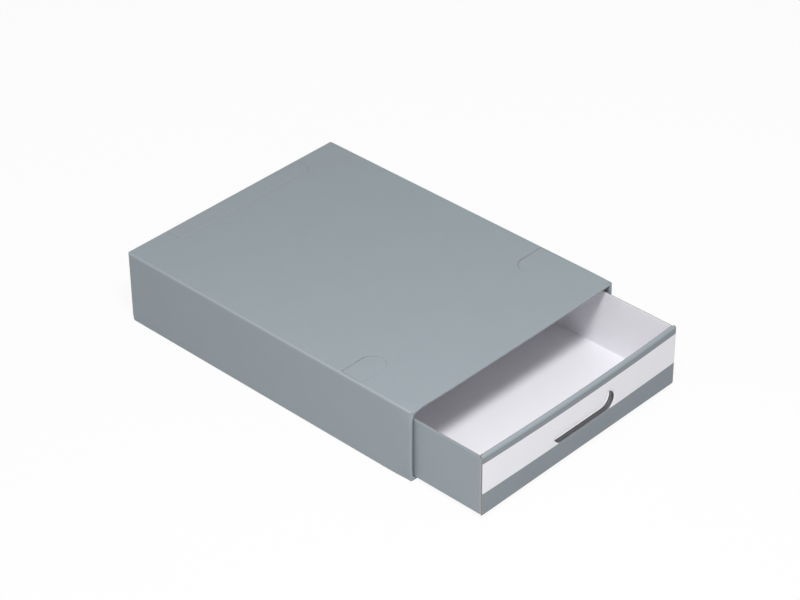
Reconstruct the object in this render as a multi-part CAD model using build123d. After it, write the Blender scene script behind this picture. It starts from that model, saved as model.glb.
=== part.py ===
from build123d import *
from math import acos, degrees
import os

# A file box of micro-flute corrugated board: an open-fronted sleeve with a drawer that slides in it.
# Two die-cut blanks are creased and folded up.  Every panel, flap, hem and tongue between two
# creases is a piece of its own here.  Millimetres; X to the right as seen from the front, Y to the
# rear, Z up; the origin is the centre of the sleeve's footprint, on the surface it stands on.

# ---------------------------------------------------------------- driving dimensions: the board
BOARD = 1.5                  # thickness of the board
FOLD_RADIUS = 2.0            # outside radius of a right-angle crease
PRESSED_GAP = 0.1            # air left between two boards that are folded flat on each other
MOVING_GAP = 0.3             # air between pieces that move past each other

# ---------------------------------------------------------------- driving dimensions: the sleeve
SLEEVE_WIDTH = 260.0
SLEEVE_DEPTH = 348.5
SLEEVE_HEIGHT = 74.0
LEVEL_HEM_DEPTH = 25.0       # how far the top and bottom hems reach back
SIDE_HEM_DEPTH = 14.0        # how far the side hems reach back
HEM_MITRE_INSET = 12.6       # the steep start of a hem's mitred end, along the mouth
HEM_MITRE_DEPTH = 5.2        # ... and into the sleeve, after which it runs at 45 degrees
GLUE_FLAP_WIDTH = 30.0
DUST_FLAP_REACH = 40.0       # from the side of the sleeve towards its middle
LUG_WIDTH = 36.0             # the two lugs that tuck the rear panel in
LUG_DEPTH = 18.0
LUG_INSET = 6.0              # from the side of the sleeve to the lug
LUG_CORNER = 6.0
RAW_EDGE_INSET = 0.5         # how far a raw edge stays inside the outline

# ---------------------------------------------------------------- driving dimensions: the tongues
SIDE_TONGUE_WIDTH = 24.5
SIDE_TONGUE_REACH = 40.0     # from the side of the sleeve to the round end
SIDE_TONGUE_SETBACK = 70.3   # from the mouth to the middle of the tongue
REAR_TONGUE_WIDTH = 165.0
REAR_TONGUE_REACH = 21.5     # from the rear of the sleeve to the far edge
REAR_TONGUE_CORNER = 7.0
TONGUE_SLOT_SPARE = 0.75     # room at each end of a tongue in the slot of the box above

# ---------------------------------------------------------------- driving dimensions: the drawer
DRAWER_OUT = 75.8            # how far the drawer stands out of the sleeve as drawn
DRAWER_SIDE_INSET = 5.0      # from the side of the sleeve to the side of the drawer
DRAWER_TOP_INSET = 8.2       # from the top of the sleeve to the top of the rolled-over ends
SIDE_WALL_DROP = 1.3         # from there down to the raw top edge of a side wall
UNDER_CLEARANCE = 0.2        # from the bottom hem to the drawer's underside
REAR_CLEARANCE = 1.5         # behind the closed drawer, up to a tongue of the box below
CORNER_FLAP_REACH = 72.0     # from the side of the drawer towards its middle
FRONT_BOW = 2.4              # how far the middle of the front's top edge springs outwards
MID_BOW = 1.6                # ... and at the height below
MID_BOW_HEIGHT = 25.0
ROLL_STEPS = 8               # straight stretches that the bowed roll is made of
LOCK_TAB_WIDTH = 30.0        # the tabs that hold a lining down in the floor
LOCK_TAB_OFFSET = 60.0       # from the middle of the drawer to the middle of a tab

# ---------------------------------------------------------------- driving dimensions: the handle slot
SLOT_LOW = 22.5              # from the drawer's underside to the slot's lower edge
SLOT_HEIGHT = 9.1            # across the slot's straight part
SLOT_LEFT_X = -26.0          # where the rounding of the left end starts, from the drawer's middle
SLOT_LEFT_RADIUS = 11.0      # of that rounding, which ends in a sharp corner at the upper edge
SLOT_BEND_X = 22.0           # where the upper edge starts to bend upwards
SLOT_BEND_RADIUS = 10.0      # of that bend, a quarter circle
SLOT_HOOK_X = 30.8           # where the lower edge starts to bend upwards
SLOT_HOOK_RADIUS = 10.3      # of that bend, which goes round until it meets the other one's end

# ---------------------------------------------------------------- worked out: the sleeve
half_sleeve = SLEEVE_WIDTH / 2
mouth = -SLEEVE_DEPTH / 2
rear = SLEEVE_DEPTH / 2
top = SLEEVE_HEIGHT
hem_thickness = 2 * BOARD + PRESSED_GAP
hem_radius = hem_thickness / 2
crease_x = half_sleeve - FOLD_RADIUS
tongue_plane = rear - FOLD_RADIUS
dust_flap_face = rear - BOARD - PRESSED_GAP
wall_end = dust_flap_face - FOLD_RADIUS
lug_base = BOARD + PRESSED_GAP
lug_crease = lug_base + FOLD_RADIUS

# ---------------------------------------------------------------- worked out: the drawer
half_drawer = half_sleeve - DRAWER_SIDE_INSET
drawer_base = hem_thickness + UNDER_CLEARANCE
drawer_depth = SLEEVE_DEPTH - FOLD_RADIUS - BOARD - REAR_CLEARANCE
drawer_front = mouth - DRAWER_OUT
drawer_back = drawer_front + drawer_depth
floor_top = drawer_base + BOARD
end_top = top - DRAWER_TOP_INSET
side_top = end_top - SIDE_WALL_DROP
flap_layer = BOARD + PRESSED_GAP
lining_layer = flap_layer + BOARD + PRESSED_GAP
end_thickness = lining_layer + BOARD
roll_radius = end_thickness / 2
roll_start = end_top - roll_radius
wall_setback = flap_layer + FOLD_RADIUS
lining_half = half_drawer - FOLD_RADIUS


def bar(low_u, high_u, low_v, high_v):
    """A rectangle between two corners, in a profile plane."""
    middle = Pos((low_u + high_u) / 2, (low_v + high_v) / 2)
    return middle * Rectangle(high_u - low_u, high_v - low_v)


def bend(u, v, outside, start, sweep):
    """The board bent round the point (u, v): a stretch of ring from the angle start, in degrees."""
    outer = CenterArc((u, v), outside, start, sweep)
    inner = CenterArc((u, v), outside - BOARD, start, sweep)
    return make_face([outer, Line(outer @ 1, inner @ 1), inner, Line(inner @ 0, outer @ 0)])


def along_x(profile, low, high):
    """Carries a profile drawn in (Y, Z) from X = low to X = high."""
    return extrude(Plane((low, 0, 0), x_dir=(0, 1, 0), z_dir=(1, 0, 0)) * profile, high - low)


def along_y(profile, low, high):
    """Carries a profile drawn in (X, Z) from Y = low to Y = high."""
    return extrude(Plane((0, high, 0), x_dir=(1, 0, 0), z_dir=(0, -1, 0)) * profile, high - low)


def along_z(profile, low, high):
    """Carries a profile drawn in (X, Y) from Z = low to Z = high."""
    return extrude(Plane((0, 0, low)) * profile, high - low)


def block(low_x, high_x, low_y, high_y, low_z, high_z):
    return along_z(bar(low_x, high_x, low_y, high_y), low_z, high_z)


def mirrored(shape):
    """The same piece on the other side of the box."""
    return mirror(shape, about=Plane.YZ)


# ---------------------------------------------------------------- tongues and the slots for them
def side_tongue_outline(grow):
    """The left tongue seen from above, from its crease to its round end, grown by grow."""
    radius = SIDE_TONGUE_WIDTH / 2 + grow
    round_x = -half_sleeve + SIDE_TONGUE_REACH - SIDE_TONGUE_WIDTH / 2
    middle = mouth + SIDE_TONGUE_SETBACK
    start = -crease_x + (0 if grow else MOVING_GAP)
    return bar(start, round_x, middle - radius, middle + radius) + Pos(round_x, middle) * Circle(radius)


def rear_tongue_outline(grow):
    """The rear tongue seen from above, with its two round corners, grown by grow."""
    half = REAR_TONGUE_WIDTH / 2 + grow
    far = rear - REAR_TONGUE_REACH - grow
    near = tongue_plane - (0 if grow else MOVING_GAP)
    plate = bar(-half, half, far, near)
    return fillet(plate.vertices().sort_by(Axis.Y)[:2], REAR_TONGUE_CORNER + grow)


def side_tongue_slot(low_z, high_z):
    """Room for the left tongue of the box below, beside the side wall."""
    middle = mouth + SIDE_TONGUE_SETBACK
    half = SIDE_TONGUE_WIDTH / 2 + TONGUE_SLOT_SPARE
    inner = -crease_x + BOARD + MOVING_GAP
    return block(-crease_x, inner, middle - half, middle + half, low_z, high_z)


# ---------------------------------------------------------------- the sleeve
def sleeve_top_panel():
    panel = bar(-crease_x, crease_x, mouth + hem_radius, tongue_plane)
    panel -= side_tongue_outline(MOVING_GAP)
    panel -= mirrored(side_tongue_outline(MOVING_GAP))
    panel -= rear_tongue_outline(MOVING_GAP)
    return along_z(panel, top - BOARD, top)


def sleeve_bottom_panel():
    panel = block(-crease_x, half_sleeve - RAW_EDGE_INSET, mouth + hem_radius, rear - RAW_EDGE_INSET,
                  0, BOARD)
    notch_half = REAR_TONGUE_WIDTH / 2 + TONGUE_SLOT_SPARE
    panel -= block(-notch_half, notch_half, tongue_plane - BOARD - MOVING_GAP, rear, 0, BOARD)
    panel -= side_tongue_slot(0, BOARD)
    return panel - mirrored(side_tongue_slot(0, BOARD))


def top_crease(start, end):
    """The rounded crease between the left wall and the top panel."""
    return along_y(bend(-crease_x, top - FOLD_RADIUS, FOLD_RADIUS, 90, 90), start, end)


def sleeve_left_wall():
    profile = bend(-crease_x, top - FOLD_RADIUS, FOLD_RADIUS, 90, 90)
    profile += bar(-half_sleeve, -half_sleeve + BOARD, FOLD_RADIUS, top - FOLD_RADIUS)
    profile += bend(-crease_x, FOLD_RADIUS, FOLD_RADIUS, 180, 90)
    return along_y(profile, mouth + hem_radius, wall_end) + top_crease(wall_end, tongue_plane)


def sleeve_right_wall():
    """Like the left wall, but its lower crease stands on the bottom panel, for the glued seam."""
    low = BOARD + FOLD_RADIUS
    profile = bend(crease_x, top - FOLD_RADIUS, FOLD_RADIUS, 0, 90)
    profile += bar(half_sleeve - BOARD, half_sleeve, low, top - FOLD_RADIUS)
    profile += bend(crease_x, low, FOLD_RADIUS, 270, 90)
    wall = along_y(profile, mouth + hem_radius, wall_end)
    return wall + mirrored(top_crease(wall_end, tongue_plane))


def sleeve_glue_flap():
    start = mouth + LEVEL_HEM_DEPTH + FOLD_RADIUS
    end = tongue_plane - LUG_DEPTH - FOLD_RADIUS
    flap = block(crease_x - GLUE_FLAP_WIDTH, crease_x, start, end, BOARD, 2 * BOARD)
    return flap - mirrored(side_tongue_slot(BOARD, 2 * BOARD))


def front_hem(edge_length, depth):
    """The board folded back on itself at the mouth, in the frame of its own panel: x along the
    edge, y into the sleeve, z outwards.  Its nose is half round, and its ends are mitred."""
    nose = along_x(bend(hem_radius, -hem_radius, hem_radius, 90, 180), -edge_length / 2, edge_length / 2)
    outer_half = edge_length / 2 - PRESSED_GAP
    inner_half = outer_half - hem_thickness
    mitre = Polyline((-outer_half, 0), (outer_half, 0), (inner_half, -hem_thickness),
                     (-inner_half, -hem_thickness), close=True)
    nose &= along_y(make_face(mitre), 0, hem_radius)
    shoulder = inner_half - HEM_MITRE_INSET
    shoulder_y = hem_radius + HEM_MITRE_DEPTH
    tip = shoulder - (depth - shoulder_y)
    outline = Polyline((-inner_half, hem_radius), (inner_half, hem_radius), (shoulder, shoulder_y),
                       (tip, depth), (-tip, depth), (-shoulder, shoulder_y), close=True)
    flap = along_z(make_face(outline), -hem_thickness, -hem_thickness + BOARD)
    return nose + flap


def placed_hem(hem, outward, edge_centre):
    """Puts a hem on the panel that faces outward, and rounds it to the sleeve's outline."""
    sideways = Vector(0, 1, 0).cross(Vector(*outward))
    outline = RectangleRounded(SLEEVE_WIDTH, SLEEVE_HEIGHT, FOLD_RADIUS)
    inside = along_y(Pos(0, SLEEVE_HEIGHT / 2) * outline, mouth, mouth + SLEEVE_DEPTH)
    return (Plane(edge_centre, x_dir=sideways, z_dir=outward) * hem) & inside


def sleeve_rear_panel():
    profile = bend(tongue_plane, top - FOLD_RADIUS, FOLD_RADIUS, 0, 90)
    profile += bar(rear - BOARD, rear, lug_crease, top - FOLD_RADIUS)
    skirt_half = half_sleeve - LUG_INSET - LUG_WIDTH - FOLD_RADIUS
    skirt = block(-skirt_half, skirt_half, rear - BOARD, rear, lug_base + MOVING_GAP, lug_crease)
    return along_x(profile, -crease_x, crease_x) + skirt


def rear_tuck_lug():
    start = -half_sleeve + LUG_INSET
    crease = along_x(bend(tongue_plane, lug_crease, FOLD_RADIUS, 270, 90), start, start + LUG_WIDTH)
    plate = bar(start, start + LUG_WIDTH, tongue_plane - LUG_DEPTH, tongue_plane)
    plate = fillet(plate.vertices().sort_by(Axis.Y)[:2], LUG_CORNER)
    return crease + along_z(plate, lug_base, lug_base + BOARD)


def rear_dust_flap():
    profile = bend(-crease_x, wall_end, FOLD_RADIUS, 90, 90)
    profile += bar(-crease_x, -half_sleeve + DUST_FLAP_REACH, dust_flap_face - BOARD, dust_flap_face)
    return along_z(profile, lug_base + BOARD + MOVING_GAP, top - FOLD_RADIUS - PRESSED_GAP)


# ---------------------------------------------------------------- the drawer's double end walls
def sprung_out(x, bow):
    """How far a line across the drawer has sprung towards -Y at x, for a bow at its middle."""
    return -bow * (1 - (x / half_drawer) ** 2)


def spring_line(start, end, depth, bow):
    """A line across the drawer at a depth behind its face, sprung outwards by bow at the middle."""
    points = [(x, depth + sprung_out(x, bow)) for x in (start, (start + end) / 2, end)]
    if bow == 0:
        return Line(points[0], points[2])
    return ThreePointArc(*points)


def end_sheet(start, end, depth, low, high, bows):
    """One layer of an end wall: a board from x = start to end at a depth behind the end's face.
    It is straight at its foot and springs outwards by the two bows, half way up and at its top."""
    levels = ((low, 0), (drawer_base + MID_BOW_HEIGHT, bows[0]), (high, bows[1]))
    sections = []
    for height, bow in levels:
        front = spring_line(start, end, depth, bow)
        back = spring_line(start, end, depth + BOARD, bow)
        outline = [front, Line(front @ 1, back @ 1), back, Line(back @ 0, front @ 0)]
        sections.append(Plane((0, 0, height)) * make_face(outline))
    return loft(sections, ruled=True)


def handle_slot():
    """The hooked slot, cut through both layers of the front: straight, then bent upwards."""
    low = drawer_base + SLOT_LOW
    high = low + SLOT_HEIGHT
    left_z = low + SLOT_LEFT_RADIUS
    left_turn = degrees(acos(1 - SLOT_HEIGHT / SLOT_LEFT_RADIUS))
    bend_z = high + SLOT_BEND_RADIUS
    hook_z = low + SLOT_HOOK_RADIUS
    end_x = SLOT_BEND_X + SLOT_BEND_RADIUS
    hook_turn = degrees(acos((end_x - SLOT_HOOK_X) / SLOT_HOOK_RADIUS))
    left_end = CenterArc((SLOT_LEFT_X, left_z), SLOT_LEFT_RADIUS, 270 - left_turn, left_turn)
    hook = CenterArc((SLOT_HOOK_X, hook_z), SLOT_HOOK_RADIUS, 270, 90 + hook_turn)
    outline = [
        left_end,
        Line((SLOT_LEFT_X, low), (SLOT_HOOK_X, low)),
        hook,
        Line(hook @ 1, (end_x, bend_z)),
        CenterArc((SLOT_BEND_X, bend_z), SLOT_BEND_RADIUS, 270, 90),
        Line((SLOT_BEND_X, high), left_end @ 0),
    ]
    face = make_face(outline)
    return along_y(face, -end_thickness, 2 * end_thickness)


def end_roll(bow):
    """The half-round roll that joins the outer panel to the lining over the corner flaps."""
    profile = bend(roll_radius, roll_start, roll_radius, 0, 180)
    sections = []
    for step in range(ROLL_STEPS + 1):
        x = half_drawer * (2 * step / ROLL_STEPS - 1)
        station = Plane((x, sprung_out(x, bow), 0), x_dir=(0, 1, 0), z_dir=(1, 0, 0))
        sections.append(station * profile)
    roll = loft(sections, ruled=True)
    for side in (-1, 1):
        outer, inner = sorted((side * lining_half, side * half_drawer))
        roll -= block(outer, inner, wall_setback - PRESSED_GAP, 2 * end_thickness, 0, end_top)
    return roll


def end_panel(bows):
    """The outer layer, with the crease that joins it to the floor."""
    low = drawer_base + FOLD_RADIUS
    crease = along_x(bend(FOLD_RADIUS, low, FOLD_RADIUS, 180, 90), -half_drawer, half_drawer)
    return crease + end_sheet(-half_drawer, half_drawer, 0, low, roll_start, bows)


def end_lining(bows):
    """The inner layer, held down by two tabs in the floor."""
    lining = end_sheet(-lining_half, lining_half, lining_layer, floor_top + PRESSED_GAP, roll_start, bows)
    for side in (-1, 1):
        middle = side * LOCK_TAB_OFFSET
        low, high = middle - LOCK_TAB_WIDTH / 2, middle + LOCK_TAB_WIDTH / 2
        lining += block(low, high, lining_layer, end_thickness, drawer_base, floor_top + PRESSED_GAP)
    return lining


def end_corner_flap(bows):
    """The left wall's flap, folded round the corner and held between the two layers."""
    low, high = floor_top + MOVING_GAP, roll_start - MOVING_GAP
    crease = along_z(bend(-half_drawer + FOLD_RADIUS, wall_setback, FOLD_RADIUS, 180, 90), low, high)
    start, end = -half_drawer + FOLD_RADIUS, -half_drawer + CORNER_FLAP_REACH
    return crease + end_sheet(start, end, flap_layer, low, high, bows)


def drawer_floor():
    floor = block(-half_drawer + FOLD_RADIUS, half_drawer - FOLD_RADIUS, drawer_front + FOLD_RADIUS,
                  drawer_back - FOLD_RADIUS, drawer_base, floor_top)
    for side in (-1, 1):
        middle = side * LOCK_TAB_OFFSET
        half = LOCK_TAB_WIDTH / 2 + PRESSED_GAP
        near, far = lining_layer - PRESSED_GAP, end_thickness + PRESSED_GAP
        floor -= block(middle - half, middle + half, drawer_front + near, drawer_front + far,
                       drawer_base, floor_top)
        floor -= block(middle - half, middle + half, drawer_back - far, drawer_back - near,
                       drawer_base, floor_top)
    return floor


def drawer_left_wall():
    profile = bar(-half_drawer, -half_drawer + BOARD, drawer_base + FOLD_RADIUS, side_top)
    profile += bend(-half_drawer + FOLD_RADIUS, drawer_base + FOLD_RADIUS, FOLD_RADIUS, 180, 90)
    return along_y(profile, drawer_front + wall_setback, drawer_back - wall_setback)


# ---------------------------------------------------------------- every piece by name
sprung = (MID_BOW, FRONT_BOW)
straight = (0, 0)
at_front = Pos(0, drawer_front, 0)
at_back = Pos(0, drawer_back, 0) * Rot(0, 0, 180)
slot = handle_slot()
lug = rear_tuck_lug()
dust_flap = rear_dust_flap()
front_flap = at_front * end_corner_flap(sprung)
rear_flap = at_back * end_corner_flap(straight)
side_tongue = along_z(side_tongue_outline(0), top - BOARD, top)
level_hem = front_hem(SLEEVE_WIDTH, LEVEL_HEM_DEPTH)
side_hem = front_hem(SLEEVE_HEIGHT, SIDE_HEM_DEPTH)

pieces = {
    "sleeve_top_panel": sleeve_top_panel(),
    "sleeve_bottom_panel": sleeve_bottom_panel(),
    "sleeve_left_wall": sleeve_left_wall(),
    "sleeve_right_wall": sleeve_right_wall(),
    "sleeve_glue_flap": sleeve_glue_flap(),
    "sleeve_rear_panel": sleeve_rear_panel(),
    "front_hem_top": placed_hem(level_hem, (0, 0, 1), (0, mouth, top)),
    "front_hem_bottom": placed_hem(level_hem, (0, 0, -1), (0, mouth, 0)),
    "front_hem_left": placed_hem(side_hem, (-1, 0, 0), (-half_sleeve, mouth, top / 2)),
    "front_hem_right": placed_hem(side_hem, (1, 0, 0), (half_sleeve, mouth, top / 2)),
    "rear_tuck_lug_left": lug,
    "rear_tuck_lug_right": mirrored(lug),
    "rear_dust_flap_left": dust_flap,
    "rear_dust_flap_right": mirrored(dust_flap),
    "stacking_tongue_left": side_tongue,
    "stacking_tongue_right": mirrored(side_tongue),
    "stacking_tongue_rear": along_z(rear_tongue_outline(0), top - BOARD, top),
    "drawer_floor": drawer_floor(),
    "drawer_left_wall": drawer_left_wall(),
    "drawer_right_wall": mirrored(drawer_left_wall()),
    "drawer_front_panel": at_front * (end_panel(sprung) - slot),
    "drawer_front_roll": at_front * end_roll(FRONT_BOW),
    "drawer_front_lining": at_front * (end_lining(sprung) - slot),
    "drawer_front_flap_left": front_flap,
    "drawer_front_flap_right": mirrored(front_flap),
    "drawer_rear_panel": at_back * end_panel(straight),
    "drawer_rear_roll": at_back * end_roll(0),
    "drawer_rear_lining": at_back * end_lining(straight),
    "drawer_rear_flap_left": mirrored(rear_flap),
    "drawer_rear_flap_right": rear_flap,
}

os.makedirs("parts", exist_ok=True)
for name, piece in pieces.items():
    export_step(piece, f"parts/{name}.step")
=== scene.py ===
import math

import bpy
import numpy as np
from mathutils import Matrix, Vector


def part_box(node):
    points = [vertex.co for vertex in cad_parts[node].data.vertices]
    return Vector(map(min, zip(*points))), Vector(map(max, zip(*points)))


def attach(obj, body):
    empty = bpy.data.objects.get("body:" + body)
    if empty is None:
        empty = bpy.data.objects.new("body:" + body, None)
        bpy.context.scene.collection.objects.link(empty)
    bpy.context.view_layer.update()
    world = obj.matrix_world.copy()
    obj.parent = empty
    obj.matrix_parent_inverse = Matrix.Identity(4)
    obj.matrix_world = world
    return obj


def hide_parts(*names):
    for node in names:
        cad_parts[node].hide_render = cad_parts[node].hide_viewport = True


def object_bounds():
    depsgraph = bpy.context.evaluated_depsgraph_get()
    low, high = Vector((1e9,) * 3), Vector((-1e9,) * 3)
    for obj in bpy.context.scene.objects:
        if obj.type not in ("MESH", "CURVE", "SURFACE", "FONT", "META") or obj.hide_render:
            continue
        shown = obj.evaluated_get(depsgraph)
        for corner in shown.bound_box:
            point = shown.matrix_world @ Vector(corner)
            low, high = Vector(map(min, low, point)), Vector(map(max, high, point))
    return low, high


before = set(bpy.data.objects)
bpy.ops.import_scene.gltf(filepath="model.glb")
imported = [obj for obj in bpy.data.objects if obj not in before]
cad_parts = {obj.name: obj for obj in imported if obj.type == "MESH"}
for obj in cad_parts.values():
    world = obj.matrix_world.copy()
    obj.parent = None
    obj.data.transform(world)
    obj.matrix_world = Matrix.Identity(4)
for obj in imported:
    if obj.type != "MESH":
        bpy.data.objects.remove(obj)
cad_low, cad_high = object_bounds()

# ------------------------------------------------------------------------------ the camera
# A long lens, two and a half metres away, looks down on the box's front left corner, so that the
# top, the left side and the pulled-out drawer all show.  Metres and radians.
CAMERA_PLACE = (-1.40208, -1.37746, 1.40695)
CAMERA_TURN = (0.962259, 0.006236, -0.813116)
CAMERA_LENS = 120.46
CAMERA_SENSOR = 36.0

camera_data = bpy.data.cameras.new("camera")
camera_data.sensor_width = CAMERA_SENSOR
camera_data.lens = CAMERA_LENS
camera = bpy.data.objects.new("camera", camera_data)
camera.location = CAMERA_PLACE
camera.rotation_euler = CAMERA_TURN
bpy.context.scene.collection.objects.link(camera)
bpy.context.scene.camera = camera
bpy.context.scene.view_settings.view_transform = "Standard"

# ------------------------------------------------------------------------------ the studio floor
# A roll of white background paper that is lit to white.  The camera sees it mostly as plain white,
# and the rest of what it sees is the lit paper, which keeps the box's soft shadow.
FLOOR_HALF = 6.0
FLOOR_BELOW = 0.0003          # the box stands this far above the paper, so no faces coincide
FLOOR_WHITE = "#e6e6e6"
FLOOR_SEEN_WHITE = 0.93       # share of plain white in what the camera sees of the floor


def linear(colour):
    """An sRGB hex colour as linear red, green, blue and alpha: ((c + 0.055) / 1.055) ^ 2.4 for each
    channel c from 0 to 1, or c / 12.92 in its darkest part."""
    channels = np.array([int(colour[i:i + 2], 16) for i in (1, 3, 5)]) / 255
    bright = ((channels + 0.055) / 1.055) ** 2.4
    return (*np.where(channels > 0.04045, bright, channels / 12.92).tolist(), 1.0)


def add_node(tree, kind, inputs=(), **settings):
    """Adds a node.  The settings are its own; inputs names sockets, each with a value or the output
    socket of another node that is linked to it."""
    node = tree.nodes.new(kind)
    for setting, value in settings.items():
        setattr(node, setting, value)
    for socket, value in dict(inputs).items():
        if isinstance(value, bpy.types.NodeSocket):
            tree.links.new(value, node.inputs[socket])
        else:
            node.inputs[socket].default_value = value
    return node


def empty_material(name):
    """A new material with no nodes in it, and its node tree."""
    material = bpy.data.materials.new(name)
    material.use_nodes = True
    material.node_tree.nodes.clear()
    return material, material.node_tree


def background_paper():
    """Matte white background paper."""
    material, tree = empty_material("background_paper")
    lit = add_node(tree, "ShaderNodeBsdfDiffuse", {"Color": linear(FLOOR_WHITE)})
    plain = add_node(tree, "ShaderNodeEmission", {"Color": (1, 1, 1, 1), "Strength": 1.0})
    path = add_node(tree, "ShaderNodeLightPath")
    seen = add_node(tree, "ShaderNodeMath", {0: path.outputs["Is Camera Ray"], 1: FLOOR_SEEN_WHITE},
                    operation="MULTIPLY")
    both = add_node(tree, "ShaderNodeMixShader", {0: seen.outputs[0], 1: lit.outputs[0], 2: plain.outputs[0]})
    add_node(tree, "ShaderNodeOutputMaterial", {"Surface": both.outputs[0]})
    return material


floor_mesh = bpy.data.meshes.new("studio_floor")
floor_mesh.from_pydata([(x * FLOOR_HALF, y * FLOOR_HALF, cad_low.z - FLOOR_BELOW)
                        for x, y in ((-1, -1), (1, -1), (1, 1), (-1, 1))], [], [(0, 1, 2, 3)])
floor_mesh.materials.append(background_paper())
studio_floor = bpy.data.objects.new("studio_floor", floor_mesh)
bpy.context.scene.collection.objects.link(studio_floor)

# ------------------------------------------------------------------------------ the studio light
# One softbox, overhead and a little to the left and in front, which throws the soft shadow of the
# mouth on the drawer's floor, and the room's own light from all round.  Metres and watts.
KEY_PLACE = (-0.44, -0.56, 1.16)
KEY_SIZE = 0.24
KEY_POWER = 12.0
ROOM_LIGHT = 0.46
LIGHT_AIM = (0.0, -0.10, 0.05)


def softbox(name, place, size, power):
    """A square area lamp that faces the box."""
    lamp = bpy.data.lights.new(name, "AREA")
    lamp.size = size
    lamp.energy = power
    box = bpy.data.objects.new(name, lamp)
    bpy.context.scene.collection.objects.link(box)
    aim = np.array(LIGHT_AIM) - place
    box.location = place
    box.rotation_euler = (math.atan2(math.hypot(aim[0], aim[1]), -aim[2]), 0,
                          math.atan2(-aim[0], aim[1]))
    return box


softbox("key_softbox", KEY_PLACE, KEY_SIZE, KEY_POWER)

room = bpy.data.worlds.new("room")
room.use_nodes = True
room.node_tree.nodes.clear()
room_path = add_node(room.node_tree, "ShaderNodeLightPath")
room_strength = add_node(room.node_tree, "ShaderNodeMapRange",
                         {0: room_path.outputs["Is Camera Ray"], 3: ROOM_LIGHT, 4: 1.0})
room_background = add_node(room.node_tree, "ShaderNodeBackground",
                           {"Color": (1, 1, 1, 1), "Strength": room_strength.outputs[0]})
add_node(room.node_tree, "ShaderNodeOutputWorld", {"Surface": room_background.outputs[0]})
bpy.context.scene.world = room

# ------------------------------------------------------------------------------ the board
# Micro-flute corrugated board, 1.5 mm thick: two liners of white-topped paper with a wavy medium of
# recycled fluting glued between them.  The outside is printed grey; every cut shows the three papers.
BOARD = 0.0015
LINER = 0.00022
MEDIUM = 0.00018
FLUTE_PITCH = 0.0033
FLUTE_STEP = FLUTE_PITCH / 6  # six stations to a flute
WASHBOARD = 0.000022          # how deep a liner sinks between the tips of the flutes
BEND_STEPS = 6                # stations round a crease
EDGE_SQUEEZE = 0.55           # how far the knife has pressed a cut edge towards CRUSH_DEPTH
CRUSH_DEPTH = 0.8 * BOARD     # under the outer face, so it is the outer face that sinks most
CRUSH_WIDTH = 0.0009          # how far in from the edge that reaches
EDGE_STATIONS = np.array([2.0, 1.2, 0.8, 0.5, 0.25, 0.0]) * 0.001
SHARP_ANGLE = math.radians(38)
GREY = "#929ca2"
GREY_PALE = "#a2aab0"         # the print where the paper takes less ink
GREY_DARK = "#7c868d"         # ... and where it takes more
GREY_STRETCHED_HIGHLIGHT = "#b0b7bc"    # ... and where a crease has stretched it, with a painted highlight along the fold
WHITE = "#f1f0f4"
WHITE_DULL = "#e5e4ea"
FLUTING = "#a3988f"
FLUTING_DARK = "#7b7069"
CUT_PAPER = "#e2dad6"
CUT_PAPER_DARK = "#a3988f"
MOTTLE_SHARE = 0.22           # how far the paper's mottle, its fibres, the flutes and a crease with its painted highlight show
FIBRE_SHARE = 0.16
FLUTE_SHARE = 0.05
CREASE_HIGHLIGHT_SHARE = 0.45
PRINT_ROUGHNESS = 0.48
PAPER_BUMP = 0.00003          # depth of the fibres in a smooth paper and in a raw or cut one
RAW_BUMP = 0.00008


def paper_noise(tree, size, detail):
    """Noise on the piece's own coordinates, with features of a real size in metres."""
    place = add_node(tree, "ShaderNodeTexCoord")
    return add_node(tree, "ShaderNodeTexNoise", {"Vector": place.outputs["Object"], "Scale": 1 / size,
                                                 "Detail": detail, "Roughness": 0.6})


def tinted(tree, colour, other, low, high, share):
    """Mixes a colour towards another one as a share goes from low to high, at most by high."""
    amount = add_node(tree, "ShaderNodeMapRange", {0: share, 3: low, 4: high})
    return add_node(tree, "ShaderNodeMix", {0: amount.outputs[0], 6: colour, 7: other},
                    data_type="RGBA").outputs[2]


def paper_finish(name, colour_of, roughness, fibre_depth):
    """A paper surface: colour_of gives its colour from the tree, and fine fibres give its bump."""
    material, tree = empty_material(name)
    fibres = paper_noise(tree, 0.0006, 4)
    bump = add_node(tree, "ShaderNodeBump", {"Height": fibres.outputs["Fac"], "Distance": fibre_depth,
                                             "Strength": 0.35})
    shader = add_node(tree, "ShaderNodeBsdfPrincipled",
                      {"Base Color": colour_of(tree), "Roughness": roughness, "Normal": bump.outputs[0]})
    add_node(tree, "ShaderNodeOutputMaterial", {"Surface": shader.outputs[0]})
    return material


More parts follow.
